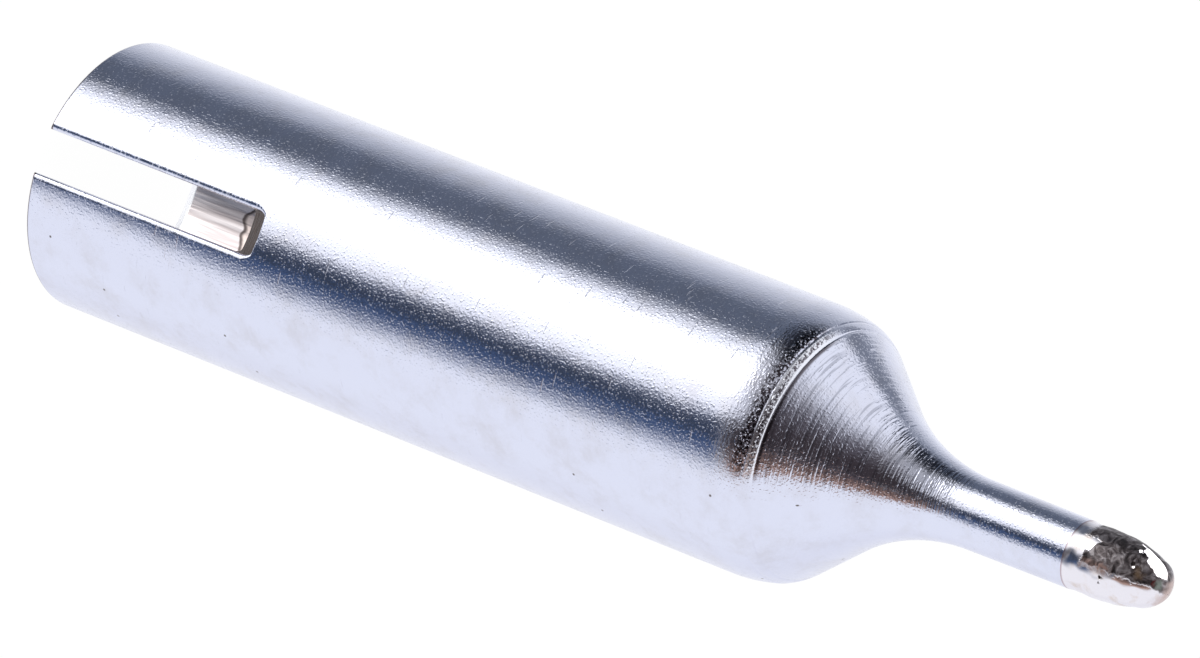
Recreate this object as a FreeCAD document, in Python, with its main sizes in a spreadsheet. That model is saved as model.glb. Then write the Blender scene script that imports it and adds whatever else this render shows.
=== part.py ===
import FreeCAD, Part
import math
import os
import Sketcher

# A slip-on tip for a soldering iron, in millimetres.
# It stands on its open rear end: the axis is +Z, the working end is up,
# and the origin is the centre of the rear face. The slot faces -Y.

doc = FreeCAD.newDocument("soldering_iron_tip")

# The driving sizes. Everything else is worked out from them.
SIZES = {
    # Barrel, the thin sleeve that slides over the heater.
    "body_diameter": 8.5,
    "wall_thickness": 0.5,
    "barrel_length": 25.75,
    "bore_depth": 23.5,
    "drill_point_angle": 118.0,
    "lead_in_width": 0.25,
    "lead_in_length": 0.38,
    "edge_radius": 0.1,
    # Shoulder, where the barrel is turned down to the neck.
    "ease_radius": 4.7,
    "ease_angle": 14.0,
    "corner_radius": 1.3,
    "cone_angle": 39.5,
    "fillet_radius": 6.1,
    # Neck and rounded working end.
    "overall_length": 39.7,
    "neck_diameter": 2.16,
    "tip_diameter": 2.11,
    "ogive_radius": 3.9,
    "nose_radius": 0.78,
    "tinned_length": 3.15,
    "solder_thickness": 0.06,
    # Slot, cut through one side of the barrel by a slitting saw.
    "slot_width": 1.4,
    "slot_length": 8.6,
    "slot_corner_radius": 0.12,
    "saw_radius": 10.0,
    "saw_depth": 2.1,
}

sheet = doc.addObject("Spreadsheet::Sheet", "Sizes")
for row, (alias, number) in enumerate(SIZES.items(), start=1):
    sheet.set(f"A{row}", alias)
    sheet.set(f"B{row}", str(number))
    sheet.setAlias(f"B{row}", alias)
doc.recompute()


def size(alias):
    return float(sheet.get(alias))


def point(across, along):
    return FreeCAD.Vector(across, along, 0)


# Shared values for the first drawing of each sketch. The sketches' own
# constraints then hold them to the sheet.
body_radius = size("body_diameter") / 2
bore_radius = body_radius - size("wall_thickness")
neck_radius = size("neck_diameter") / 2
tip_radius = size("tip_diameter") / 2
solder = size("solder_thickness")
ease_turn = math.radians(size("ease_angle"))
cone_turn = math.radians(size("cone_angle"))
tin_start = size("overall_length") - size("tinned_length")

BODY_RADIUS = "Sizes.body_diameter / 2"
BORE_RADIUS = "Sizes.body_diameter / 2 - Sizes.wall_thickness"
TIN_START = "Sizes.overall_length - Sizes.tinned_length"


def new_body(label):
    body = doc.addObject("PartDesign::Body", label)
    body.Label = label
    body.Placement = FreeCAD.Placement()
    return body


def new_sketch(body, name, role):
    """Adds an empty sketch on one of the body's own origin planes."""
    sketch = body.newObject("Sketcher::SketchObject", name)
    plane = next(item for item in body.Origin.OriginFeatures if item.Role == role)
    sketch.AttachmentSupport = (plane, [""])
    sketch.MapMode = "FlatFace"
    return sketch


def line(sketch, start, end):
    return sketch.addGeometry(Part.LineSegment(start, end), False)


def arc(sketch, centre, radius, first, last):
    """Adds an arc that runs anticlockwise between two angles in radians."""
    circle = Part.Circle(centre, FreeCAD.Vector(0, 0, 1), radius)
    return sketch.addGeometry(Part.ArcOfCircle(circle, first, last), False)


def hold(sketch, *rule):
    """Adds a constraint that needs no size."""
    return sketch.addConstraint(Sketcher.Constraint(*rule))


def bind(sketch, expression, *rule):
    """Adds a constraint whose size is an expression on the sheet."""
    index = sketch.addConstraint(Sketcher.Constraint(*rule))
    sketch.setExpression(f"Constraints[{index}]", expression)
    return index


# Sketcher's numbers for the ends and the centre of an edge, and for the
# sketch's origin and its upright axis.
START, END, CENTRE = range(1, 4)
ORIGIN, AXIS = range(-1, -3, -1)


def nose_arcs(depth):
    """Gives the ogive and the nose of the working end, a depth under its skin."""
    ogive = size("ogive_radius")
    nose = size("nose_radius")
    nose_centre = size("overall_length") - nose
    drop = ogive - tip_radius
    ogive_centre = nose_centre - math.sqrt((ogive - nose) ** 2 - drop ** 2)
    turn = math.atan2(nose_centre - ogive_centre, drop)
    return {
        "ogive": (point(-drop, ogive_centre), ogive - depth, 0.0, turn),
        "nose": (point(0, nose_centre), nose - depth, turn, math.pi / 2),
    }


def draw_nose(sketch, depth, depth_rule):
    """Draws the side, ogive and nose of the working end as three tangent edges."""
    arcs = nose_arcs(depth)
    side_top = arcs["ogive"][0].y
    side = line(sketch, point(tip_radius - depth, tin_start), point(tip_radius - depth, side_top))
    ogive = arc(sketch, *arcs["ogive"])
    nose = arc(sketch, *arcs["nose"])
    hold(sketch, "Vertical", side)
    hold(sketch, "Tangent", side, END, ogive, START)
    hold(sketch, "Tangent", ogive, END, nose, START)
    hold(sketch, "PointOnObject", nose, CENTRE, AXIS)
    hold(sketch, "PointOnObject", nose, END, AXIS)
    bind(sketch, f"Sizes.ogive_radius - {depth_rule}", "Radius", ogive, arcs["ogive"][1])
    bind(sketch, f"Sizes.nose_radius - {depth_rule}", "Radius", nose, arcs["nose"][1])
    top = size("overall_length") - depth
    bind(sketch, f"Sizes.overall_length - {depth_rule}", "DistanceY", ORIGIN, START, nose, END, top)
    return side, nose


def revolve(body, name, sketch):
    feature = body.newObject("PartDesign::Revolution", name)
    feature.Profile = sketch
    feature.ReferenceAxis = (sketch, ["V_Axis"])
    feature.Angle = 360
    doc.recompute()
    return feature


# Tip body: one turned piece of copper, plated all over. Its half section is
# the barrel, a soft corner, the cone, the fillet, the neck and the working end.
tip_body = new_body("tip_body")
section = new_sketch(tip_body, "BodySection", "XZ_Plane")

barrel_top = size("barrel_length")
ease_centre = point(body_radius - size("ease_radius"), barrel_top)
ease_out = point(math.cos(ease_turn), math.sin(ease_turn))
cone_out = point(math.cos(cone_turn), math.sin(cone_turn))
ease_end = ease_centre + ease_out * size("ease_radius")
corner_centre = ease_end - ease_out * size("corner_radius")
cone_start = corner_centre + cone_out * size("corner_radius")
cone_end_radius = neck_radius + size("fillet_radius") * (1 - math.cos(cone_turn))
cone_rise = (cone_start.x - cone_end_radius) / math.tan(cone_turn)
cone_end = point(cone_end_radius, cone_start.y + cone_rise)
fillet_centre = cone_end + cone_out * size("fillet_radius")

rear = line(section, point(0, 0), point(body_radius, 0))
barrel = line(section, point(body_radius, 0), point(body_radius, barrel_top))
ease = arc(section, ease_centre, size("ease_radius"), 0, ease_turn)
corner = arc(section, corner_centre, size("corner_radius"), ease_turn, cone_turn)
cone = line(section, cone_start, cone_end)
fillet = arc(section, fillet_centre, size("fillet_radius"), math.pi, math.pi + cone_turn)
neck = line(section, point(neck_radius, fillet_centre.y), point(tip_radius, tin_start))
step = line(section, point(tip_radius, tin_start), point(tip_radius - solder, tin_start))
side, nose = draw_nose(section, solder, "Sizes.solder_thickness")
core_top = point(0, size("overall_length") - solder)
axis = line(section, core_top, point(0, 0))

hold(section, "Coincident", rear, START, ORIGIN, START)
hold(section, "Horizontal", rear)
bind(section, BODY_RADIUS, "DistanceX", rear, START, rear, END, body_radius)
hold(section, "Coincident", rear, END, barrel, START)
hold(section, "Vertical", barrel)
bind(section, "Sizes.barrel_length", "DistanceY", barrel, START, barrel, END, barrel_top)
hold(section, "Tangent", barrel, END, ease, START)
bind(section, "Sizes.ease_radius", "Radius", ease, size("ease_radius"))
bind(section, "Sizes.ease_angle * 1 deg", "Angle", ease, ease_turn)
hold(section, "Tangent", ease, END, corner, START)
bind(section, "Sizes.corner_radius", "Radius", corner, size("corner_radius"))
corner_rule = "(Sizes.cone_angle - Sizes.ease_angle) * 1 deg"
bind(section, corner_rule, "Angle", corner, cone_turn - ease_turn)
hold(section, "Tangent", corner, END, cone, START)
hold(section, "Tangent", cone, END, fillet, END)
bind(section, "Sizes.fillet_radius", "Radius", fillet, size("fillet_radius"))
hold(section, "Horizontal", fillet, CENTRE, fillet, START)
hold(section, "Coincident", fillet, START, neck, START)
bind(section, "Sizes.neck_diameter / 2", "DistanceX", ORIGIN, START, neck, START, neck_radius)
bind(section, "Sizes.tip_diameter / 2", "DistanceX", ORIGIN, START, neck, END, tip_radius)
bind(section, TIN_START, "DistanceY", ORIGIN, START, neck, END, tin_start)
hold(section, "Coincident", neck, END, step, START)
hold(section, "Horizontal", step)
bind(section, "Sizes.solder_thickness", "DistanceX", step, END, step, START, solder)
hold(section, "Coincident", step, END, side, START)
hold(section, "Coincident", nose, END, axis, START)
hold(section, "Coincident", axis, END, ORIGIN, START)
turned = revolve(tip_body, "TurnedBody", section)

# The blind bore for the heater, with a lead-in at its mouth and a drill point.
bore_section = new_sketch(tip_body, "BoreSection", "XZ_Plane")
mouth = size("lead_in_width")
mouth_top = size("lead_in_length")
half_point = math.radians(size("drill_point_angle") / 2)
bore_end = size("bore_depth") + bore_radius / math.tan(half_point)
bore_points = [
    point(0, 0),
    point(bore_radius + mouth, 0),
    point(bore_radius, mouth_top),
    point(bore_radius, size("bore_depth")),
    point(0, bore_end),
]
bore_edges = []
for start, end in zip(bore_points, bore_points[1:] + bore_points[:1]):
    bore_edges.append(line(bore_section, start, end))
for edge, following in zip(bore_edges, bore_edges[1:] + bore_edges[:1]):
    hold(bore_section, "Coincident", edge, END, following, START)
bore_floor, lead_in, bore_wall, drill_point, bore_axis = bore_edges
hold(bore_section, "Coincident", bore_floor, START, ORIGIN, START)
hold(bore_section, "Horizontal", bore_floor)
hold(bore_section, "Vertical", bore_wall)
hold(bore_section, "Vertical", bore_axis)
bind(bore_section, BORE_RADIUS, "DistanceX", ORIGIN, START, bore_wall, START, bore_radius)
bind(bore_section, "Sizes.lead_in_width", "DistanceX", lead_in, END, lead_in, START, mouth)
bind(bore_section, "Sizes.lead_in_length", "DistanceY", lead_in, START, lead_in, END, mouth_top)
depth_rule = ("DistanceY", ORIGIN, START, bore_wall, END, size("bore_depth"))
bind(bore_section, "Sizes.bore_depth", *depth_rule)
point_rule = f"({BORE_RADIUS}) / tan(Sizes.drill_point_angle / 2 * 1 deg)"
point_height = bore_end - size("bore_depth")
bind(bore_section, point_rule, "DistanceY", drill_point, START, drill_point, END, point_height)
bore = tip_body.newObject("PartDesign::Groove", "HeaterBore")
bore.Profile = bore_section
bore.ReferenceAxis = (bore_section, ["V_Axis"])
bore.Angle = 360
doc.recompute()

# The slot lets the barrel spring and grip the heater. A round saw cuts it,
# so its closed end slopes as the edge of the saw does.
slot_section = new_sketch(tip_body, "SlotSection", "YZ_Plane")
saw_floor = -(body_radius - size("saw_depth"))
saw_radius = size("saw_radius")
saw_rise = saw_radius - size("saw_depth")
saw_run = math.sqrt(saw_radius ** 2 - saw_rise ** 2)
saw_centre = point(saw_floor - saw_radius, size("slot_length") - saw_run)
# How far the drawn cut reaches past the barrel, outwards and to the rear.
clear = 1.0
outside = -(body_radius + clear)
slot_points = [
    point(outside, -clear),
    point(saw_floor, -clear),
    point(saw_floor, saw_centre.y),
    point(-body_radius, size("slot_length")),
    point(outside, size("slot_length")),
]
slot_base = line(slot_section, slot_points[0], slot_points[1])
slot_floor = line(slot_section, slot_points[1], slot_points[2])
slot_end = arc(slot_section, saw_centre, saw_radius, 0, math.asin(saw_run / saw_radius))
slot_lip = line(slot_section, slot_points[3], slot_points[4])
slot_side = line(slot_section, slot_points[4], slot_points[0])
hold(slot_section, "Coincident", slot_base, END, slot_floor, START)
hold(slot_section, "Tangent", slot_floor, END, slot_end, START)
hold(slot_section, "Coincident", slot_end, END, slot_lip, START)
hold(slot_section, "Coincident", slot_lip, END, slot_side, START)
hold(slot_section, "Coincident", slot_side, END, slot_base, START)
hold(slot_section, "Horizontal", slot_base)
hold(slot_section, "Vertical", slot_floor)
hold(slot_section, "Horizontal", slot_lip)
hold(slot_section, "Vertical", slot_side)
bind(slot_section, "Sizes.saw_radius", "Radius", slot_end, saw_radius)
floor_rule = f"{BODY_RADIUS} - Sizes.saw_depth"
bind(slot_section, floor_rule, "DistanceX", slot_floor, START, ORIGIN, START, -saw_floor)
bind(slot_section, BODY_RADIUS, "DistanceX", slot_end, END, ORIGIN, START, body_radius)
side_rule = f"{BODY_RADIUS} + {clear}"
bind(slot_section, side_rule, "DistanceX", slot_side, START, ORIGIN, START, -outside)
lip_rule = ("DistanceY", ORIGIN, START, slot_end, END, size("slot_length"))
bind(slot_section, "Sizes.slot_length", *lip_rule)
hold(slot_section, "DistanceY", slot_base, START, ORIGIN, START, clear)
slot = tip_body.newObject("PartDesign::Pocket", "SawnSlot")
slot.Profile = slot_section
slot.Type = "Length"
slot.Midplane = True
slot.setExpression("Length", "Sizes.slot_width")
doc.recompute()

TOLERANCE = 0.001


def edge_names(shape, wanted):
    """Names the edges whose every sampled point passes a test."""
    names = []
    for number, edge in enumerate(shape.Edges, start=1):
        if edge.Degenerated:
            continue
        if all(wanted(sample) for sample in edge.discretize(9)):
            names.append(f"Edge{number}")
    return names


def near(value, target):
    return abs(value - target) < TOLERANCE


def on_barrel(place):
    return near(math.hypot(place.x, place.y), body_radius)


def on_slot_corner(place):
    on_side = near(abs(place.x), size("slot_width") / 2)
    past_floor = place.z > saw_centre.y
    outside_bore = math.hypot(place.x, place.y) > bore_radius - TOLERANCE
    on_saw = math.hypot(place.y - saw_centre.x, place.z - saw_centre.y)
    return on_side and past_floor and outside_bore and near(on_saw, saw_radius)


def on_outer_edge(place):
    beside_slot = abs(place.x) < size("slot_width") / 2 + TOLERANCE
    along_slot = place.y < 0 and place.z < size("slot_length") + TOLERANCE
    return on_barrel(place) and (near(place.z, 0) or (beside_slot and along_slot))


def add_fillet(name, base, radius_rule, wanted):
    feature = tip_body.newObject("PartDesign::Fillet", name)
    feature.Base = (base, edge_names(base.Shape, wanted))
    feature.setExpression("Radius", radius_rule)
    doc.recompute()
    return feature


corners = add_fillet("SlotCorners", slot, "Sizes.slot_corner_radius", on_slot_corner)
softened = add_fillet("SoftEdges", corners, "Sizes.edge_radius", on_outer_edge)

# Solder coat: the thin skin of solder that wets the working end.
solder_coat = new_body("solder_coat")
coat_section = new_sketch(solder_coat, "CoatSection", "XZ_Plane")
outer_side, outer_nose = draw_nose(coat_section, 0.0, "0")
inner_side, inner_nose = draw_nose(coat_section, solder, "Sizes.solder_thickness")
outer_top = point(0, size("overall_length"))
coat_tip = line(coat_section, outer_top, core_top)
inner_foot = point(tip_radius - solder, tin_start)
coat_foot = line(coat_section, inner_foot, point(tip_radius, tin_start))
hold(coat_section, "Coincident", outer_nose, END, coat_tip, START)
hold(coat_section, "Coincident", coat_tip, END, inner_nose, END)
hold(coat_section, "Coincident", inner_side, START, coat_foot, START)
hold(coat_section, "Coincident", coat_foot, END, outer_side, START)
hold(coat_section, "Horizontal", coat_foot)
foot_rule = ("DistanceX", ORIGIN, START, coat_foot, END, tip_radius)
bind(coat_section, "Sizes.tip_diameter / 2", *foot_rule)
thin_rule = ("DistanceX", coat_foot, START, coat_foot, END, solder)
bind(coat_section, "Sizes.solder_thickness", *thin_rule)
start_rule = ("DistanceY", ORIGIN, START, coat_foot, START, tin_start)
bind(coat_section, TIN_START, *start_rule)
coat = revolve(solder_coat, "CoatSkin", coat_section)

doc.recompute()

# A cut has to take metal away, or it pointed the wrong way.
for before, after in ((turned, bore), (bore, slot)):
    if after.Shape.Volume >= before.Shape.Volume:
        raise RuntimeError(f"{after.Name} cuts nothing")

for item in doc.Objects:
    if "Invalid" in item.State or "Error" in item.State:
        raise RuntimeError(f"{item.Name} failed: {item.State}")

parts = [tip_body, solder_coat]
for part in parts:
    if part.Shape.isNull() or not part.Shape.isValid():
        raise RuntimeError(f"{part.Label} has no valid shape")

os.makedirs("parts", exist_ok=True)
for part in parts:
    part.Shape.exportStep(f"parts/{part.Label}.step")
    solid_count = len(part.Shape.Solids)
    print(part.Label, solid_count, "solid", round(part.Shape.Volume, 3), "cubic mm")
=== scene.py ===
import math
import bpy
import numpy as np
from mathutils import Matrix


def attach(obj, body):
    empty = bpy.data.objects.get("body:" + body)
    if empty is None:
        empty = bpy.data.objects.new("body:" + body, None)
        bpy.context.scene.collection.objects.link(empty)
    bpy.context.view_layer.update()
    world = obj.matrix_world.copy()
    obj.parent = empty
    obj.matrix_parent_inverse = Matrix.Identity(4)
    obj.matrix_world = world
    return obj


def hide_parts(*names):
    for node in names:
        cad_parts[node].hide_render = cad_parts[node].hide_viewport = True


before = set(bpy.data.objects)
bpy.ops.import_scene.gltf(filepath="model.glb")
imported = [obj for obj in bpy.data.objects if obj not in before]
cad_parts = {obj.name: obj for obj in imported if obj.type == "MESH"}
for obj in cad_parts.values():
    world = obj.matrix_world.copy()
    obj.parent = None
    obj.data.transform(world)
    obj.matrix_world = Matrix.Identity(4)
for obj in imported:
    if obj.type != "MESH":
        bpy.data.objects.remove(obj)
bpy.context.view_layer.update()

# Turned body. One piece of copper, turned and bored on a lathe, sawn at the
# rear so that it springs on the heater, then plated bright all over. Sizes are
# in millimetres, from the axis and from the rear face.
BODY_RADIUS = 4.25
BORE_RADIUS = 3.75
BORE_DEPTH = 23.5
DRILL_POINT = math.radians(118 / 2)
LEAD_IN = 0.25
LEAD_IN_LENGTH = 0.38
EDGE = 0.1
LIP = 0.17
BARREL_LENGTH = 25.75
EASE_RADIUS = 4.7
EASE_TURN = math.radians(14)
CORNER_RADIUS = 1.3
CONE_TURN = math.radians(39.5)
FILLET_RADIUS = 6.1
NECK_RADIUS = 1.08
LENGTH = 39.7
TIP_RADIUS = 1.055
OGIVE_RADIUS = 3.9
NOSE_RADIUS = 0.78
TIN_START = LENGTH - 3.15
SOLDER = 0.06
SLOT_HALF = 0.7
SLOT_LENGTH = 8.6
SLOT_CORNER = 0.12
SAW_RADIUS = 10.0
SAW_DEPTH = 2.1


class Skin:
    """Gathers patches of one surface, each a grid that carries its own true normals."""

    def __init__(self):
        self.points = []
        self.seen = {}
        self.faces = []
        self.normals = []
        self.finishes = []

    def lay(self, surface, across, along, outward=1, finish=0):
        """Adds a patch, where surface(u, v) gives x, y and z in millimetres."""
        u, v = np.meshgrid(across, along, indexing="ij")
        places = np.stack(surface(u, v), -1)
        nudge = 1e-5
        by_u = np.stack(surface(u + nudge, v), -1) - np.stack(surface(u - nudge, v), -1)
        by_v = np.stack(surface(u, v + nudge), -1) - np.stack(surface(u, v - nudge), -1)
        normals = np.cross(by_u, by_v) * outward
        lengths = np.linalg.norm(normals, axis=-1, keepdims=True)
        normals /= np.maximum(lengths, 1e-16)
        index = np.zeros(u.shape, int)
        for spot in np.ndindex(u.shape):
            key = tuple(np.round(places[spot], 4) + 0.0)
            if key not in self.seen:
                self.seen[key] = len(self.points)
                self.points.append(places[spot] * 0.001)
            index[spot] = self.seen[key]
        for i, j in np.ndindex(len(across) - 1, len(along) - 1):
            ring = {}
            for spot in [(i, j), (i + 1, j), (i + 1, j + 1), (i, j + 1)][::outward]:
                ring.setdefault(int(index[spot]), normals[spot])
            if len(ring) > 2:
                self.faces.append(list(ring))
                self.normals.extend(ring.values())
                self.finishes.append(finish)

    def piece(self, name, *materials):
        mesh = bpy.data.meshes.new(name)
        mesh.from_pydata(self.points, [], self.faces)
        mesh.polygons.foreach_set("use_smooth", [True] * len(mesh.polygons))
        mesh.polygons.foreach_set("material_index", self.finishes)
        mesh.normals_split_custom_set([tuple(normal) for normal in self.normals])
        for material in materials:
            mesh.materials.append(material)
        obj = bpy.data.objects.new(name, mesh)
        bpy.context.collection.objects.link(obj)
        return obj


def around(radius, turn, height):
    """A place round the axis, its turn counted from the middle of the slot."""
    return radius * np.sin(turn), -radius * np.cos(turn), height + 0 * radius


# The closed end of the slot slopes as the edge of the saw does.
SAW_Y = SAW_DEPTH - BODY_RADIUS - SAW_RADIUS
SAW_Z = SLOT_LENGTH - math.sqrt(SAW_RADIUS ** 2 - (SAW_RADIUS - SAW_DEPTH) ** 2)


def saw_end(y, grown=0.0):
    """The height of the slot's closed end at y, and how much its slope stretches it."""
    reach = SAW_RADIUS + grown
    rise = np.sqrt(reach ** 2 - (y - SAW_Y) ** 2)
    return SAW_Z + rise, reach / rise, (y - SAW_Y) / reach


# The slot's outline is followed by a run in millimetres, from the middle of its
# closed end, down one side, and at last round the rear edge of the barrel.
FLAT = SLOT_HALF - SLOT_CORNER
CORNER_END = FLAT + SLOT_CORNER * math.pi / 2
SIDE_END = CORNER_END + SLOT_LENGTH
REAR_END = SIDE_END + 1.0


def rear_round(run):
    """The height and the radius left of the rounded rear edge."""
    turn = np.clip(run - SIDE_END, 0, 1) * math.pi / 2
    return EDGE - EDGE * np.sin(turn), EDGE * np.cos(turn)


def slot_edge(run, radius, grown):
    """Follows the slot at a radius from the axis, with the outline grown by a margin."""
    side = np.sign(run)
    run = np.abs(run)
    corner = np.clip((run - FLAT) / SLOT_CORNER, 0, math.pi / 2)
    rounding = SLOT_CORNER + grown
    x = side * (np.minimum(run, FLAT) + rounding * np.sin(corner))
    y = -np.sqrt(radius ** 2 - x ** 2)
    end, stretch, lean = saw_end(y, grown)
    top = end - rounding * stretch * (1 - np.cos(corner))
    rear, _ = rear_round(run)
    down = np.clip((run - CORNER_END) / SLOT_LENGTH, 0, 1)
    z = np.where(run > SIDE_END, rear, top + (rear - top) * down)
    out = (side * np.sin(corner), np.cos(corner) * lean, np.cos(corner) * np.sqrt(1 - lean ** 2))
    return (x, y, z), out


def rolled(run, k):
    """The rolled lip of the slot: k runs from the barrel's skin to the cut face.

    Along the sides it is wider than it is deep, as a sawn edge is once it is eased.
    """
    _, edge = rear_round(np.abs(run))
    corner = np.clip((np.abs(run) - FLAT) / SLOT_CORNER, 0, math.pi / 2)
    width = edge * (1 + (LIP / EDGE - 1) * np.sin(corner) ** 2)
    centre, out = slot_edge(run, BODY_RADIUS - EDGE, width)
    skin = (centre[0] / (BODY_RADIUS - EDGE), centre[1] / (BODY_RADIUS - EDGE), 0 * k)
    between = np.arccos(np.clip(-sum(a * b for a, b in zip(skin, out)), -1, 1))
    near = edge * np.sin((1 - k) * between) / np.sin(between)
    far = width * np.sin(k * between) / np.sin(between)
    return tuple(c + near * a - far * b for c, a, b in zip(centre, skin, out))


def bore_radius(height):
    """The bore opens out in a short lead-in at its mouth."""
    return BORE_RADIUS + LEAD_IN * np.clip(1 - height / LEAD_IN_LENGTH, 0, 1)


def bore_edge(run):
    """The inner edge of the cut face, where it meets the bore or its lead-in."""
    place, _ = slot_edge(run, BORE_RADIUS, 0 * run)
    place, _ = slot_edge(run, bore_radius(place[2]), 0 * run)
    return place


def cut_face(run, k):
    lip = rolled(run, 1.0 + 0 * k)
    inner = bore_edge(run)
    return tuple(a + (b - a) * k for a, b in zip(lip, inner))


# Round the slot lies a frame of skin, out to two straight sides and a top, so
# that the rest of the barrel is a plain grid.
FRAME_TURN = math.radians(22)
FRAME_TOP = SLOT_LENGTH + 1.2
MITRE = FLAT + SLOT_CORNER * math.pi / 4


def frame_side(run):
    """The outer line of that frame: its turn about the axis and its height."""
    side = np.sign(run)
    run = np.abs(run)
    shoulder = (run - FLAT) / (MITRE - FLAT)
    flat_turn = math.asin(FLAT / BODY_RADIUS)
    turn = np.where(run < FLAT, flat_turn * run / FLAT, flat_turn + (FRAME_TURN - flat_turn) * shoulder)
    side_top = SLOT_LENGTH - 2 * SLOT_CORNER
    drop = (run - MITRE) / (CORNER_END - MITRE)
    upper = FRAME_TOP + (side_top - FRAME_TOP) * np.clip(drop, 0, 1)
    rear, _ = rear_round(run)
    lower = side_top + (rear - side_top) * np.clip((run - CORNER_END) / SLOT_LENGTH, 0, 1)
    height = np.where(run > SIDE_END, rear, np.where(run > CORNER_END, lower, upper))
    return side * np.minimum(turn, FRAME_TURN), height


def outer_frame(run, k):
    x, y, z = rolled(run, 0.0 * k)
    turn, height = frame_side(run)
    start = np.arctan2(x, -y)
    return around(np.hypot(x, y), start + (turn - start) * k, z + (height - z) * k)


def outer_rest(turn, run):
    _, height = frame_side(run)
    _, edge = rear_round(run)
    return around(BODY_RADIUS - EDGE + edge, turn, height)


def inner_frame(run, k):
    x, y, z = bore_edge(run)
    turn, height = frame_side(run)
    start = np.arctan2(x, -y)
    level = z + (height - z) * k
    return around(bore_radius(level), start + (turn - start) * k, level)


def inner_rest(turn, run):
    _, height = frame_side(run)
    return around(bore_radius(height), turn, height)


def ruled(first, second):
    """A patch of straight lines between two edges, each an edge(u)."""
    def surface(u, k):
        return tuple(a + (b - a) * k for a, b in zip(first(u), second(u)))
    return surface


def turned_line(radius, height, heading, bends):
    """A half section: straight and round stretches, each a (length, radius of bend).

    The heading is counted from straight up, towards the axis. A radius of 0 is a
    straight stretch, and a negative one bends away from the axis.
    """
    stretches = []
    run = 0.0
    for length, bend in bends:
        stretches.append((run, radius, height, heading, bend))
        turn = length / bend if bend else 0.0
        if bend:
            radius += bend * (math.cos(heading + turn) - math.cos(heading))
            height += bend * (math.sin(heading + turn) - math.sin(heading))
        else:
            radius -= length * math.sin(heading)
            height += length * math.cos(heading)
        heading += turn
        run += length

    def follow(s):
        r, z, lean = 0.0 * s, 0.0 * s, 0.0 * s
        for begin, r0, z0, lean0, bend in stretches:
            here = s >= begin if begin else s == s
            along = s - begin
            if bend:
                new_lean = lean0 + along / bend
                new_r = r0 + bend * (np.cos(new_lean) - math.cos(lean0))
                new_z = z0 + bend * (np.sin(new_lean) - math.sin(lean0))
            else:
                new_lean = lean0 + 0 * s
                new_r = r0 - along * math.sin(lean0)
                new_z = z0 + along * math.cos(lean0)
            r, z, lean = (np.where(here, new, old) for new, old in ((new_r, r), (new_z, z), (new_lean, lean)))
        return r, z, lean

    return follow, [stretch[0] for stretch in stretches] + [run]


corner_lean = EASE_RADIUS * (1 - math.cos(EASE_TURN))
corner_drop = CORNER_RADIUS * (math.cos(EASE_TURN) - math.cos(CONE_TURN))
fillet_drop = FILLET_RADIUS * (1 - math.cos(CONE_TURN))
cone_drop = BODY_RADIUS - corner_lean - corner_drop - fillet_drop - NECK_RADIUS
cone_length = cone_drop / math.sin(CONE_TURN)
neck_start = (
    BARREL_LENGTH + EASE_RADIUS * math.sin(EASE_TURN)
    + CORNER_RADIUS * (math.sin(CONE_TURN) - math.sin(EASE_TURN))
    + cone_length * math.cos(CONE_TURN) + FILLET_RADIUS * math.sin(CONE_TURN)
)
neck_lean = math.atan2(NECK_RADIUS - TIP_RADIUS, TIN_START - neck_start)
neck_start -= FILLET_RADIUS * math.sin(neck_lean)
shoulder, shoulder_marks = turned_line(BODY_RADIUS, FRAME_TOP, 0.0, [
    (BARREL_LENGTH - FRAME_TOP, 0),
    (EASE_RADIUS * EASE_TURN, EASE_RADIUS),
    (CORNER_RADIUS * (CONE_TURN - EASE_TURN), CORNER_RADIUS),
    (cone_length, 0),
    (FILLET_RADIUS * (CONE_TURN - neck_lean), -FILLET_RADIUS),
    ((TIN_START - neck_start) / math.cos(neck_lean), 0),
])

# Where the corner meets the cone, the turning tool left two fine grooves.
GROOVES = (-0.33, 0.0)
GROOVE_WIDTH = 0.035
GROOVE_DEPTH = 0.014


def turned_skin(turn, s):
    r, z, lean = shoulder(s)
    depth = sum(GROOVE_DEPTH * np.exp(-((s - shoulder_marks[3] - g) / GROOVE_WIDTH) ** 2) for g in GROOVES)
    return around(r - depth * np.cos(lean), turn, z - depth * np.sin(lean))


def nose_line(depth):
    """The half section of the working end, a depth under its skin."""
    nose_height = LENGTH - NOSE_RADIUS
    drop = OGIVE_RADIUS - TIP_RADIUS
    ogive_height = nose_height - math.sqrt((OGIVE_RADIUS - NOSE_RADIUS) ** 2 - drop ** 2)
    turn = math.atan2(nose_height - ogive_height, drop)
    return turned_line(TIP_RADIUS - depth, TIN_START, 0.0, [
        (ogive_height - TIN_START, 0),
        ((OGIVE_RADIUS - depth) * turn, OGIVE_RADIUS - depth),
        ((NOSE_RADIUS - depth) * (math.pi / 2 - turn), NOSE_RADIUS - depth),
    ])


def steps(*stops):
    """Even steps between stops, given as stop, count, stop, count, stop."""
    found = [stops[0]]
    for first, count, last in zip(stops[0::2], stops[1::2], stops[2::2]):
        found.extend(np.linspace(first, last, count + 1)[1:])
    return np.array(found)


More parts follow.
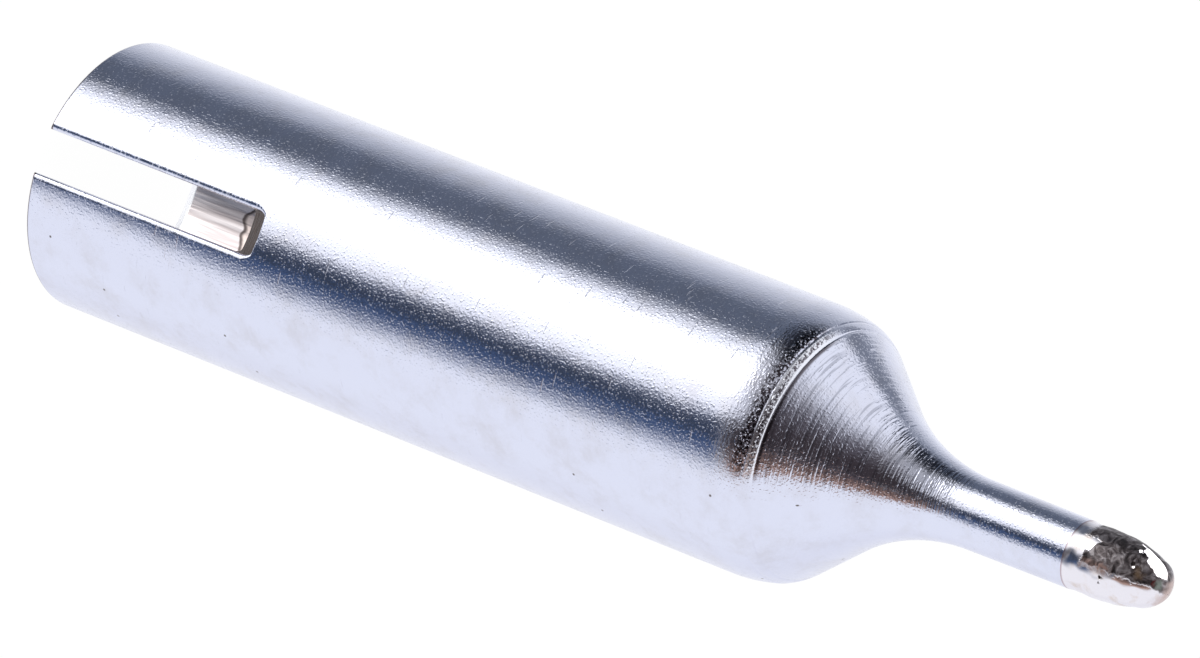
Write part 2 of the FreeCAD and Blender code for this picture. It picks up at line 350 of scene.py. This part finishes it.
lead_end = CORNER_END + SLOT_LENGTH * (SLOT_LENGTH - 2 * SLOT_CORNER - LEAD_IN_LENGTH) / (
    SLOT_LENGTH - 2 * SLOT_CORNER - EDGE
)
half = steps(0, 4, FLAT, 5, MITRE, 5, CORNER_END, 12, lead_end, 2, SIDE_END, 4, REAR_END)
slot_runs = np.concatenate([-half[:0:-1], half])
side_runs = half[half >= MITRE - 1e-9]
lead_runs = half[half >= lead_end - 1e-9]
bore_runs = slot_runs[np.abs(slot_runs) <= lead_end + 1e-9]
head_runs = slot_runs[np.abs(slot_runs) <= MITRE + 1e-9]
rest_turns = np.linspace(FRAME_TURN, 2 * math.pi - FRAME_TURN, 181)
whole_turn = np.concatenate([frame_side(head_runs)[0], rest_turns[1:]])
across = np.linspace(0, 1, 6)
lip_steps = np.linspace(0, 1, 5)
core, core_marks = nose_line(SOLDER)


def held(surface, value, first=False):
    """Follows a surface along one of its lines, where its first or second number stays."""
    def edge(along):
        kept = value + 0 * along
        return surface(kept, along) if first else surface(along, kept)
    return edge


def revolved(line):
    """The surface that a half section sweeps round the axis."""
    def surface(turn, s):
        radius, height, _ = line(s)
        return around(radius, turn, height)
    return surface


def bore_wall(turn, height):
    return around(BORE_RADIUS + 0 * height, turn, height)


def bore_point(turn, radius):
    """The cone that the drill's point leaves at the bottom of the bore."""
    return around(radius, turn, BORE_DEPTH + (BORE_RADIUS - radius) / math.tan(DRILL_POINT))


PLATED, BORED, SAWN, LED_IN = 0, 1, 2, 3
body = Skin()
body.lay(rolled, slot_runs, lip_steps, -1, PLATED)
body.lay(cut_face, slot_runs, across, -1, SAWN)
body.lay(outer_frame, slot_runs, across, 1, PLATED)
body.lay(inner_frame, bore_runs, across, -1, BORED)
body.lay(inner_frame, lead_runs, across, -1, LED_IN)
body.lay(inner_frame, -lead_runs[::-1], across, -1, LED_IN)
body.lay(outer_rest, rest_turns, side_runs, -1, PLATED)
body.lay(inner_rest, rest_turns, side_runs[side_runs <= lead_end + 1e-9], 1, BORED)
body.lay(inner_rest, rest_turns, lead_runs, 1, LED_IN)
for side in (1, -1):
    outer = held(outer_frame, side * REAR_END, first=True)
    inner = held(inner_frame, side * REAR_END, first=True)
    body.lay(ruled(outer, inner), across, across, -side, PLATED)
rear_face = ruled(held(outer_rest, REAR_END), held(inner_rest, REAR_END))
body.lay(rear_face, rest_turns, across, -1, PLATED)
corner_start, cone_start = shoulder_marks[2:4]
shoulder_runs = steps(
    0, 8, shoulder_marks[1], 8, corner_start, 10, cone_start - 0.45, 36, cone_start + 0.12,
    8, shoulder_marks[4], 24, shoulder_marks[5], 6, shoulder_marks[6],
)
body.lay(turned_skin, whole_turn, shoulder_runs, 1, PLATED)
core_skin = revolved(core)
core_foot = held(core_skin, 0.0)
core_runs = steps(0, 4, core_marks[1], 8, core_marks[2], 10, core_marks[3])
body.lay(core_skin, whole_turn, core_runs, 1, PLATED)
neck_step = ruled(held(turned_skin, shoulder_marks[-1]), core_foot)
body.lay(neck_step, whole_turn, steps(0, 1, 1), 1, PLATED)
body.lay(bore_wall, whole_turn, steps(FRAME_TOP, 8, BORE_DEPTH), -1, BORED)
body.lay(bore_point, whole_turn, steps(BORE_RADIUS, 8, 0.0), -1, BORED)


def linear(code):
    """Turns an sRGB hex value into the linear colour that a shader takes."""
    parts = [int(code[i:i + 2], 16) / 255 for i in (1, 3, 5)]
    return [c / 12.92 if c <= 0.04045 else ((c + 0.055) / 1.055) ** 2.4 for c in parts] + [1.0]


def add(tree, kind, links=None, inputs=None, **settings):
    """Adds a node. Links and inputs name a socket: a link is a node and one of its outputs."""
    node = tree.nodes.new(kind)
    for name, value in settings.items():
        setattr(node, name, value)
    for socket, value in (inputs or {}).items():
        node.inputs[socket].default_value = value
    for socket, (source, output) in (links or {}).items():
        tree.links.new(source.outputs[output], node.inputs[socket])
    return node


def new_material(name):
    material = bpy.data.materials.new(name)
    material.use_nodes = True
    material.node_tree.nodes.clear()
    return material, material.node_tree


def in_mm(tree):
    """The place on the object, in millimetres."""
    place = add(tree, "ShaderNodeTexCoord"), "Object"
    return add(tree, "ShaderNodeMapping", {"Vector": place}, {"Scale": (1000.0, 1000.0, 1000.0)}), 0


def stretched(tree, mm, x, y, z, **inputs):
    """Noise with as many grains to the millimetre along each axis as the numbers say."""
    scaled = add(tree, "ShaderNodeMapping", {"Vector": mm}, {"Scale": (x, y, z)}), 0
    return add(tree, "ShaderNodeTexNoise", {"Vector": scaled}, {"Scale": 1.0, **inputs}), "Fac"


def where_all(tree, *masks):
    """A mask that is full only where all of the masks are."""
    total = masks[0]
    for mask in masks[1:]:
        total = add(tree, "ShaderNodeMath", {0: total, 1: mask}, operation="MULTIPLY"), 0
    return total


def where_any(tree, *masks):
    """A mask that is full where any of the masks is."""
    total = masks[0]
    for mask in masks[1:]:
        total = add(tree, "ShaderNodeMath", {0: total, 1: mask}, operation="MAXIMUM"), 0
    return total


def zone(tree, value, *edges, strength=1.0):
    """A mask over a value. Each soft edge is given as where it is clear and where it is full."""
    sides = []
    for clear, full in edges:
        side = add(tree, "ShaderNodeMapRange", {"Value": value}, {
            "From Min": clear, "From Max": full, "To Max": 1.0 if sides else strength,
        }, interpolation_type="SMOOTHSTEP")
        sides.append((side, 0))
    return where_all(tree, *sides)


def raised(tree, *reliefs):
    """One bump of several reliefs, each a socket and its height in micrometres."""
    total = None
    for relief, micrometres in reliefs:
        high = add(tree, "ShaderNodeMath", {0: relief}, {1: micrometres}, operation="MULTIPLY"), 0
        if total:
            high = add(tree, "ShaderNodeMath", {0: total, 1: high}, operation="ADD"), 0
        total = high
    return add(tree, "ShaderNodeBump", {"Height": total}, {"Strength": 1.0, "Distance": 0.000001}), "Normal"


def painted(tree, ground, *layers):
    """Lays colours over a ground, each through its mask.

    A colour is an sRGB hex value, a linear red, green, blue and alpha, or a socket.
    """
    for mask, paint in layers:
        links = {"Factor": mask}
        plain = {}
        for socket, colour in ((6, ground), (7, paint)):
            if len(colour) == 2:
                links[socket] = colour
            else:
                plain[socket] = linear(colour) if isinstance(colour, str) else colour
        ground = add(tree, "ShaderNodeMix", links, plain, data_type="RGBA"), 2
    return ground


def scattered(tree, place, scale, reach, chosen, strength=1.0):
    """Spots on a skin laid flat, where only the cells that draw a high number hold one."""
    cells = add(tree, "ShaderNodeTexVoronoi", {"Vector": place}, {"Scale": scale}, voronoi_dimensions="2D")
    drawn = add(tree, "ShaderNodeSeparateXYZ", {0: (cells, "Color")}), 0
    spots = zone(tree, (cells, "Distance"), reach, strength=strength)
    return where_all(tree, spots, zone(tree, drawn, chosen))


# Bright plating over turned copper. It mirrors the studio. A fine grain breaks
# up the edges of its highlights, and the cone keeps the tool's fine rings.
plating, tree = new_material("bright_plating_on_copper")
mm = in_mm(tree)
split = add(tree, "ShaderNodeSeparateXYZ", {0: mm})
height = split, "Z"
grain = stretched(tree, mm, 13, 13, 15, Detail=1.0, Roughness=0.5)
speck = zone(tree, stretched(tree, mm, 14, 14, 16, Detail=0.0), (0.56, 0.76))
hair = stretched(tree, mm, 2.2, 2.2, 13, Detail=1.0)
swell = stretched(tree, mm, 1.1, 1.1, 0.7, Detail=1.0)
rings = stretched(tree, mm, 0.7, 0.7, 15, Detail=1.0, Roughness=0.6)
on_cone = zone(tree, height, (27.4, 27.6), (34.5, 31.5))
mottle = stretched(tree, mm, 0.9, 0.9, 0.9, Detail=4.0, Roughness=0.65)

# The skin is unrolled about the axis. Its turn, in radians from the slot, picks the side toward
# the lamp, which carries painted highlights and shade, and the pale side, which carries dirt; its
# flat places in millimetres hold the scratches.
SCRATCH_SLANT = math.radians(33)
leftwards = add(tree, "ShaderNodeMath", {0: (split, "Y")}, {1: -1.0}, operation="MULTIPLY"), 0
turned = add(tree, "ShaderNodeMath", {0: (split, "X"), 1: leftwards}, operation="ARCTAN2"), 0
unrolled = add(tree, "ShaderNodeCombineXYZ", {"X": turned, "Y": height}), 0
unrolled = add(tree, "ShaderNodeMapping", {"Vector": unrolled}, {"Scale": (BODY_RADIUS, 1.0, 1.0)}), 0
slanted = add(tree, "ShaderNodeMapping", {"Vector": unrolled}, {
    "Rotation": (0.0, 0.0, SCRATCH_SLANT), "Scale": (1.1, 13.0, 1.0),
}), 0
scratches = scattered(tree, slanted, 1.0, (0.30, 0.10), (0.975, 0.976), strength=-1.0)
dirt = scattered(tree, unrolled, 0.8, (0.045, 0.02), (0.86, 0.87))
# The side toward the camera and the lamp: the painted highlights and shade below lie only on it.
near_side = zone(tree, turned, (0.42, 0.24), (-1.15, -0.85))
pale_side = zone(tree, turned, (0.30, 0.42))

# Between the two grooves runs a strip that was left rough. On the side toward the lamp it is
# painted bright as a highlight, with painted dark specks down its middle; the skin beside it is
# pitted and painted dark as shade, and a thin line past it is painted dark as well.
STRIP_START = 27.14
STRIP_END = 27.41
rough_strip_and_highlight = where_all(
    tree, zone(tree, height, (STRIP_START, STRIP_START + 0.03), (STRIP_END, STRIP_END - 0.03)), near_side,
)
specked_middle_and_shade = where_all(
    tree, zone(tree, height, (STRIP_START + 0.06, STRIP_START + 0.09), (STRIP_END - 0.06, STRIP_END - 0.09)),
    near_side,
)
pitted_band_and_shade = where_all(
    tree, zone(tree, height, (STRIP_START - 0.54, STRIP_START - 0.22), (STRIP_START, STRIP_START - 0.02)),
    near_side,
)
far_shade_line = where_all(
    tree, zone(tree, height, (STRIP_END - 0.01, STRIP_END + 0.01), (STRIP_END + 0.11, STRIP_END + 0.05)),
    near_side,
)
roughness = add(tree, "ShaderNodeMapRange", {"Value": rough_strip_and_highlight}, {
    "To Min": 0.1, "To Max": 0.24,
}, interpolation_type="SMOOTHSTEP"), 0

# Towards the rear end the skin falls away a little on one side of the slot.
eased = where_all(tree, zone(tree, turned, (0.14, 0.55)), zone(tree, height, (8.0, 0.8)))
bump = raised(
    tree, (grain, 4.5), (speck, 2.7), (hair, 3.0), (swell, 10.0), (where_all(tree, rings, on_cone), 15.0),
    (scratches, 6.0), (where_all(tree, speck, specked_middle_and_shade), 22.0), (where_all(tree, speck, pitted_band_and_shade), 4.5),
    (eased, -85.0),
)
colour = painted(
    tree, "#DFE2F1",
    (zone(tree, mottle, (0.40, 0.85), strength=0.6), "#CCCACF"),
    # Painted shade: the tool's rings drawn grey, only on the cone's side toward the lamp.
    (where_all(tree, zone(tree, rings, (0.50, 0.36), strength=0.5), on_cone, near_side), "#858896"),
    (where_all(tree, dirt, pale_side), "#77706E"),
    # Painted shade: the dark band beside the strip, on the side toward the lamp.
    (where_all(tree, pitted_band_and_shade, zone(tree, grain, (0.40, 0.58))), "#453E44"),
    # Painted shade: a thin dark line past the strip.
    (far_shade_line, "#6A666E"),
    # Painted highlight: the strip, drawn bright on the side toward the lamp.
    (rough_strip_and_highlight, "#F4F6FD"),
    # Painted shade: dark specks down the middle of the strip.
    (where_all(tree, specked_middle_and_shade, zone(tree, grain, (0.46, 0.56))), "#77727A"),
    # Painted shade: the rounded rear edge drawn dark, for the dark line round the rear rim.
    (zone(tree, height, (EDGE, 0.6 * EDGE)), "#6A5F62"),
)
metal = add(tree, "ShaderNodeBsdfPrincipled", {
    "Base Color": colour, "Normal": bump, "Roughness": roughness,
}, {"Metallic": 1.0})
add(tree, "ShaderNodeOutputMaterial", {"Surface": (metal, "BSDF")})

# Drilled and plated bore: duller, with streaks along the drill's way out. A wavy dark line and a
# paler zone past it are painted reflections of the slot, which the far wall mirrors.
bore_finish, tree = new_material("drilled_plated_bore")
mm = in_mm(tree)
streak = stretched(tree, mm, 5, 5, 0.25, Detail=2.0)
height = add(tree, "ShaderNodeSeparateXYZ", {0: mm}), "Z"
waver = stretched(tree, mm, 1.3, 1.3, 0.2, Detail=2.0)
level = add(tree, "ShaderNodeMath", {0: waver, 2: height}, {1: 1.2}, operation="MULTIPLY_ADD"), 0
colour = painted(
    tree, "#C2B8B8",
    (zone(tree, streak, (0.35, 0.65)), "#F4ECEC"),
    # Painted reflection: a wavy dark line, and a paler zone past it, where the far wall mirrors the slot.
    (zone(tree, level, (3.18, 3.25)), "#6B6260"),
    (zone(tree, level, (3.28, 3.42)), "#E9DAD4"),
)
metal = add(tree, "ShaderNodeBsdfPrincipled", {
    "Base Color": colour, "Normal": raised(tree, (streak, 13.0)),
}, {"Metallic": 1.0, "Roughness": 0.3})
add(tree, "ShaderNodeOutputMaterial", {"Surface": (metal, "BSDF")})

# Lead-in at the mouth of the bore: cut bright.
lead_finish, tree = new_material("bright_lead_in")
metal = add(tree, "ShaderNodeBsdfPrincipled", None, {
    "Base Color": linear("#FFFFFF"), "Metallic": 1.0, "Roughness": 0.3,
})
add(tree, "ShaderNodeOutputMaterial", {"Surface": (metal, "BSDF")})

# Sawn edge of the slot: plated along its sides, and browned at its closed end.
sawn_finish, tree = new_material("sawn_plated_copper")
mm = in_mm(tree)
height = add(tree, "ShaderNodeSeparateXYZ", {0: mm}), "Z"
saw_marks = stretched(tree, mm, 3, 9, 9, Detail=3.0, Roughness=0.7)
brown = painted(tree, "#17100C", (saw_marks, "#4E362A"))
colour = painted(tree, "#D6D6DE", (zone(tree, height, (SLOT_LENGTH - 1.4, SLOT_LENGTH - 1.0)), brown))
metal = add(tree, "ShaderNodeBsdfPrincipled", {
    "Base Color": colour, "Normal": raised(tree, (saw_marks, 20.0)),
}, {"Metallic": 1.0, "Roughness": 0.35})
add(tree, "ShaderNodeOutputMaterial", {"Surface": (metal, "BSDF")})

turned_body = body.piece("turned_body", plating, bore_finish, sawn_finish, lead_finish)
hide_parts("tip_body")
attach(turned_body, "root")

# Solder coat. Tin flowed over the working end by hand. It is thin, a little
# lumpy, bright where it is clean, and dark and crusted where flux has burnt on it.
coat, coat_marks = nose_line(0.0)
coat_skin = revolved(coat)
coat_runs = steps(0, 12, coat_marks[1], 24, coat_marks[2], 26, coat_marks[3])
OUTSIDE, INSIDE = 0, 1
skin = Skin()
skin.lay(coat_skin, whole_turn, coat_runs, 1, OUTSIDE)
skin.lay(core_skin, whole_turn, core_runs, -1, INSIDE)
skin.lay(ruled(held(coat_skin, 0.0), core_foot), whole_turn, steps(0, 1, 1), -1, INSIDE)


def side_of(tree, place, direction, distance, soft):
    """A mask that is full on the far side of a plane, for places in millimetres."""
    along = add(tree, "ShaderNodeVectorMath", {0: place}, {1: direction}, operation="DOT_PRODUCT")
    return zone(tree, (along, "Value"), (distance - soft, distance + soft))


def blot(tree, place, centre, reach, soft):
    """A mask that is full inside a ball, for places in millimetres."""
    away = add(tree, "ShaderNodeVectorMath", {0: place}, {1: centre}, operation="DISTANCE")
    return zone(tree, (away, "Value"), (reach + soft, reach - soft))


# Solder: a bright, slightly warm mirror, with a crust of burnt flux, a reddish fringe that is a
# painted reflection, gold and red tarnish, small pits and two facets that flash.
# The edges of these wander, so most masks are laid on wobbled places.
LEFT = (-1.0, 0.0, 0.0)
RIGHT = (1.0, 0.0, 0.0)
SLOT_SIDE = (0.0, -1.0, 0.0)
UP = (0.0, 0.0, 1.0)
DOWN = (0.0, 0.0, -1.0)
solder_finish, tree = new_material("tin_solder")
mm = in_mm(tree)
wobble = add(tree, "ShaderNodeTexNoise", {"Vector": mm}, {"Scale": 4.5, "Detail": 3.0}), "Color"
wobble = add(tree, "ShaderNodeVectorMath", {0: wobble}, {1: (0.5, 0.5, 0.5)}, operation="SUBTRACT"), 0
wobble = add(tree, "ShaderNodeVectorMath", {0: wobble}, {"Scale": 0.34}, operation="SCALE"), 0
spot = add(tree, "ShaderNodeVectorMath", {0: mm, 1: wobble}, operation="ADD"), 0
facet = where_all(
    tree, side_of(tree, spot, (-0.79, 0.0, 0.613), 24.36, 0.012), side_of(tree, mm, SLOT_SIDE, 0.17, 0.025),
    side_of(tree, mm, LEFT, 0.2, 0.04),
)
small_facet = blot(tree, spot, (-0.728, -0.556, 38.67), 0.085, 0.02)
glint = blot(tree, mm, (-0.25, -0.86, 38.79), 0.058, 0.012)
facets = where_any(tree, facet, small_facet, glint)
clean = add(tree, "ShaderNodeMath", {1: facets}, {0: 1.0}, operation="SUBTRACT"), 0
flank = where_all(tree, side_of(tree, spot, LEFT, 0.62, 0.04), side_of(tree, spot, UP, 36.95, 0.12))
front = side_of(tree, spot, (0.508, 0.0, 0.861), 32.01, 0.02)
crust = where_all(
    tree, where_any(tree, flank, front), side_of(tree, spot, LEFT, -0.16, 0.05),
    side_of(tree, mm, SLOT_SIDE, -0.2, 0.3), clean,
)
# Painted reflection: a reddish fringe where the dark band on the tin meets its pale lower side.
reddish_reflection_fringe = where_all(
    tree, side_of(tree, spot, LEFT, -0.30, 0.09), side_of(tree, spot, RIGHT, -0.01, 0.1),
    side_of(tree, mm, SLOT_SIDE, 0.3, 0.1), side_of(tree, spot, UP, 37.12, 0.06),
    side_of(tree, spot, DOWN, -38.15, 0.2),
)
pits = where_any(
    tree, blot(tree, spot, (0.417, -0.955, 37.955), 0.06, 0.02),
    blot(tree, spot, (0.564, -0.883, 37.87), 0.04, 0.02), blot(tree, mm, (-0.33, -0.84, 38.74), 0.08, 0.02),
)
seam = where_all(
    tree, side_of(tree, mm, UP, TIN_START - 0.01, 0.02), side_of(tree, mm, DOWN, -TIN_START - 0.05, 0.03),
)
rim = where_all(tree, side_of(tree, spot, (0.25, 0.55, 0.80), 31.66, 0.14), clean)
swirl = add(tree, "ShaderNodeTexNoise", {"Vector": mm}, {
    "Scale": 3.0, "Detail": 3.0, "Distortion": 1.6,
}), "Fac"
patchy = add(tree, "ShaderNodeMapRange", {"Value": swirl}, {
    "From Min": 0.36, "From Max": 0.60, "To Min": 0.25, "To Max": 0.9,
}, interpolation_type="SMOOTHSTEP"), 0
burnt = add(tree, "ShaderNodeValToRGB", {"Fac": swirl})
stops = burnt.color_ramp.elements
stops.new(0.5)
for stop, position, code in zip(stops, (0.34, 0.5, 0.68), ("#262122", "#625A5B", "#A39D9F")):
    stop.position = position
    stop.color = linear(code)
colour = painted(
    tree, "#ECE9EE",
    (zone(tree, stretched(tree, mm, 2.2, 2.2, 2.2, Detail=3.0), (0.5, 0.72), strength=0.8), "#DCD0C9"),
    (crust, (burnt, 0)),
    # Painted reflection: the reddish fringe.
    (where_all(tree, reddish_reflection_fringe, patchy), "#AD8C80"),
    (where_all(tree, blot(tree, spot, (-0.10, -0.81, 38.98), 0.13, 0.12), clean), "#86705A"),
    (blot(tree, spot, (0.0, -0.57, 39.45), 0.09, 0.04), "#5E2C2C"),
    (blot(tree, spot, (0.0, -0.44, 39.57), 0.11, 0.08), "#828A82"),
    (pits, "#241C1A"),
    (seam, "#BFB0B6"),
    (rim, "#CDB8B1"),
)
bump = raised(
    tree, (stretched(tree, mm, 2.0, 2.0, 2.0, Detail=1.0), 22.0), (where_all(tree, swirl, crust), 34.0),
    (pits, -30.0),
)
# The facets are flat: each faces the lamp, whatever the lumps round it do.
flat = add(tree, "ShaderNodeMix", {"Factor": facets, 4: bump}, {
    5: (-0.282, -0.958, 0.035),
}, data_type="VECTOR"), 1
flat = add(tree, "ShaderNodeVectorMath", {0: flat}, operation="NORMALIZE"), 0
dull = where_any(tree, crust, reddish_reflection_fringe)
metal = add(tree, "ShaderNodeBsdfPrincipled", {
    "Base Color": colour, "Normal": flat,
    "Roughness": (add(tree, "ShaderNodeMapRange", {"Value": dull}, {
        "To Min": 0.14, "To Max": 0.42,
    }, interpolation_type="SMOOTHSTEP"), 0),
    "Metallic": (add(tree, "ShaderNodeMapRange", {"Value": dull}, {
        "To Min": 1.0, "To Max": 0.7,
    }, interpolation_type="SMOOTHSTEP"), 0),
})
add(tree, "ShaderNodeOutputMaterial", {"Surface": (metal, "BSDF")})

# The lumps of the coat are hollows in its outer skin, none deeper than the coat.
lumpy = bpy.data.node_groups.new("lumpy_coat", "GeometryNodeTree")
lumpy.interface.new_socket("Geometry", in_out="INPUT", socket_type="NodeSocketGeometry")
lumpy.interface.new_socket("Geometry", in_out="OUTPUT", socket_type="NodeSocketGeometry")
lumpy_sizes = {"Depth": 0.000035, "Lumps per metre": 1500.0, "Foot": TIN_START * 0.001, "Seed": 4.0}
for name in lumpy_sizes:
    lumpy.interface.new_socket(name, in_out="INPUT", socket_type="NodeSocketFloat")
given = lumpy.nodes.new("NodeGroupInput")
where = add(lumpy, "GeometryNodeInputPosition")
facing_out = add(lumpy, "GeometryNodeInputNormal")
lumps = add(lumpy, "ShaderNodeTexNoise", {
    "Vector": (where, 0), "Scale": (given, "Lumps per metre"), "W": (given, "Seed"),
}, {"Detail": 1.5}, noise_dimensions="4D")
level = add(lumpy, "ShaderNodeMapRange", {"Value": (lumps, "Fac")}, {"From Min": 0.3, "From Max": 0.62})
up = add(lumpy, "ShaderNodeSeparateXYZ", {0: (where, 0)})
above = add(lumpy, "ShaderNodeMath", {0: (up, "Z"), 1: (given, "Foot")}, operation="SUBTRACT")
above = add(lumpy, "ShaderNodeMapRange", {"Value": (above, 0)}, {"From Min": 0.00002, "From Max": 0.0002})
depth = add(lumpy, "ShaderNodeMath", {0: (level, 0), 1: (above, 0)}, operation="MULTIPLY")
depth = add(lumpy, "ShaderNodeMath", {0: (depth, 0), 1: (given, "Depth")}, operation="MULTIPLY")
inward = add(lumpy, "ShaderNodeMath", {0: (depth, 0)}, {1: -1.0}, operation="MULTIPLY")
shift = add(lumpy, "ShaderNodeVectorMath", {0: (facing_out, 0), "Scale": (inward, 0)}, operation="SCALE")
side = add(lumpy, "GeometryNodeInputMaterialIndex")
outside = add(lumpy, "FunctionNodeCompare", {2: (side, 0)}, {3: 0}, data_type="INT", operation="EQUAL")
moved = add(lumpy, "GeometryNodeSetPosition", {
    "Geometry": (given, "Geometry"), "Selection": (outside, 0), "Offset": (shift, 0),
})
real = add(lumpy, "GeometryNodeRealizeInstances", {"Geometry": (moved, 0)})
coated = add(lumpy, "GeometryNodeSetMaterial", {"Geometry": (real, 0)}, {"Material": solder_finish})
add(lumpy, "NodeGroupOutput", {"Geometry": (coated, 0)})

tinned_end = skin.piece("tinned_end", solder_finish, solder_finish)
modifier = tinned_end.modifiers.new("lumpy_coat", "NODES")
modifier.node_group = lumpy
for socket in lumpy.interface.items_tree:
    if socket.name in lumpy_sizes:
        modifier[socket.identifier] = lumpy_sizes[socket.name]
view_layer = bpy.context.evaluated_depsgraph_get()
baked = bpy.data.meshes.new_from_object(tinned_end.evaluated_get(view_layer))
tinned_end.modifiers.remove(modifier)
tinned_end.data = baked
baked.name = "tinned_end"
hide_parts("solder_coat")
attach(tinned_end, "root")

# Studio floor: plain and white, with only a faint shadow.
bpy.ops.mesh.primitive_plane_add(size=4.0)
floor = bpy.context.object
floor.name = "studio_floor"
floor_paint, tree = new_material("white_paper")
glow = add(tree, "ShaderNodeEmission", None, {"Strength": 0.99})
matt = add(tree, "ShaderNodeBsdfDiffuse", None, {"Color": linear("#333333")})
lit = add(tree, "ShaderNodeAddShader", {0: (glow, "Emission"), 1: (matt, "BSDF")})
add(tree, "ShaderNodeOutputMaterial", {"Surface": (lit, "Shader")})
floor.data.materials.append(floor_paint)
floor.visible_glossy = False
floor.visible_diffuse = False
floor.visible_shadow = False

# Studio light. White all round, with soft dark and bright panels that the
# metal mirrors. Angles are in degrees: a turn about the axis, and a height.
FACING = math.radians(-91.4)
world = bpy.data.worlds.new("studio")
bpy.context.scene.world = world
world.use_nodes = True
tree = world.node_tree
tree.nodes.clear()
axis_up = np.array([0.0, 0.0, 1.0])
facing = np.array([math.cos(FACING), math.sin(FACING), 0.0])
sideways = np.cross(axis_up, facing)
sky = add(tree, "ShaderNodeTexCoord"), "Generated"
toward = add(tree, "ShaderNodeVectorMath", {0: sky}, {1: facing}, operation="DOT_PRODUCT"), "Value"
aside = add(tree, "ShaderNodeVectorMath", {0: sky}, {1: sideways}, operation="DOT_PRODUCT"), "Value"
above = add(tree, "ShaderNodeVectorMath", {0: sky}, {1: axis_up}, operation="DOT_PRODUCT"), "Value"
turn = add(tree, "ShaderNodeMath", {0: aside, 1: toward}, operation="ARCTAN2"), 0
turn = add(tree, "ShaderNodeMath", {0: turn}, operation="DEGREES"), 0
rise = add(tree, "ShaderNodeMath", {0: above}, operation="ARCSINE"), 0
rise = add(tree, "ShaderNodeMath", {0: rise}, operation="DEGREES"), 0

# Each panel is its light, then its left and right edge and its lower and upper
# edge: where it is clear and where it is full, or None where it runs on.
ROOM_LIGHT = (0.985, 0.995, 1.04, 1.0)
PANELS = (
    # The room is a little darker behind the photographer's left.
    ((0.92, 0.925, 0.98), (100, 135), (180, 174), None, None),
    # Blue grey cards on the left, which the upper side of the barrel mirrors.
    ((0.150, 0.178, 0.235), (-165, -85), (-46, -72), None, (14, 4)),
    ((0.122, 0.142, 0.185), (-116, -92), (-58, -72), None, (-24, -32)),
    ((0.23, 0.25, 0.30), (-150, -130), (-108, -118), (-3, 5), (25, 17)),
    # A grey and a black card, which only the turned corner mirrors.
    ((0.50, 0.50, 0.52), (-92, -62), (6, -22), (-22, -8), (24, 8)),
    ((0.022, 0.024, 0.032), (-112, -88), (-38, -68), (-27, -15), (10, 2)),
    # The lamp, with its brighter core.
    ((1.35, 1.35, 1.35), (-76, -46), (13, -20), None, (-10, -27)),
    ((3.0, 3.0, 3.0), (-54, -40), (-14, -28), None, (-14, -27)),
    # A dark card overhead, which the cone mirrors.
    ((0.13, 0.12, 0.135), (-77, -24), (50, 22), (4, 22), (75, 50)),
    # A navy and a near black card, for the dark band along the barrel.
    ((0.060, 0.098, 0.195), (-4, 16), (52, 26), None, (-14, -26)),
    ((0.045, 0.059, 0.092), (-5, 14), (26, 16), None, (-14, -26)),
    # Brown black cards low on the cone, with a rust coloured edge.
    ((0.055, 0.048, 0.054), (-12, 8), (50, 20), (-26, -14), (14, 4)),
    ((0.050, 0.040, 0.044), (-34, -2), (32, 8), (-8, 6), (75, 50)),
    ((0.17, 0.110, 0.094), (18, 26), (40, 30), (-16, -5), (62, 50)),
    ((0.44, 0.285, 0.23), (29, 34), (44, 36), (-16, -5), (62, 50)),
)
view = ROOM_LIGHT
for light, left, right, low, high in PANELS:
    ends = [zone(tree, rise, edge) for edge in (low, high) if edge]
    panel = where_all(tree, zone(tree, turn, left, right), *ends)
    view = painted(tree, view, (panel, (*light, 1.0)))
path = add(tree, "ShaderNodeLightPath")
view = painted(tree, view, ((path, "Is Camera Ray"), (1.0, 1.0, 1.0, 1.0)))
back = add(tree, "ShaderNodeBackground", {"Color": view})
add(tree, "ShaderNodeOutputWorld", {"Surface": (back, "Background")})

# Camera, with a long lens. The photograph was taken from above a tip that lies
# down, so here the camera is rolled until the standing tip lies in the picture.
VIEW_DISTANCE = 0.366583
VIEW_DROP = math.radians(32.6585)
ROLL = math.radians(21.365)
AIM_HEIGHT = 0.018331
AIM_ASIDE = -0.001007
ahead = -math.sin(VIEW_DROP) * axis_up - math.cos(VIEW_DROP) * facing
across_view = math.cos(VIEW_DROP) * axis_up - math.sin(VIEW_DROP) * facing
right = math.cos(ROLL) * across_view - math.sin(ROLL) * sideways
down = math.sin(ROLL) * across_view + math.cos(ROLL) * sideways
stand = AIM_HEIGHT * axis_up + AIM_ASIDE * sideways - VIEW_DISTANCE * ahead
camera = bpy.data.cameras.new("camera")
camera.lens = 370.36
camera.sensor_width = 36.0
camera.clip_end = 10.0
viewer = bpy.data.objects.new("camera", camera)
bpy.context.collection.objects.link(viewer)
turned_view = Matrix(np.array([right, -down, -ahead]).T.tolist())
viewer.matrix_world = Matrix.Translation(stand) @ turned_view.to_4x4()
bpy.context.scene.camera = viewer
bpy.context.scene.view_settings.view_transform = "Standard"
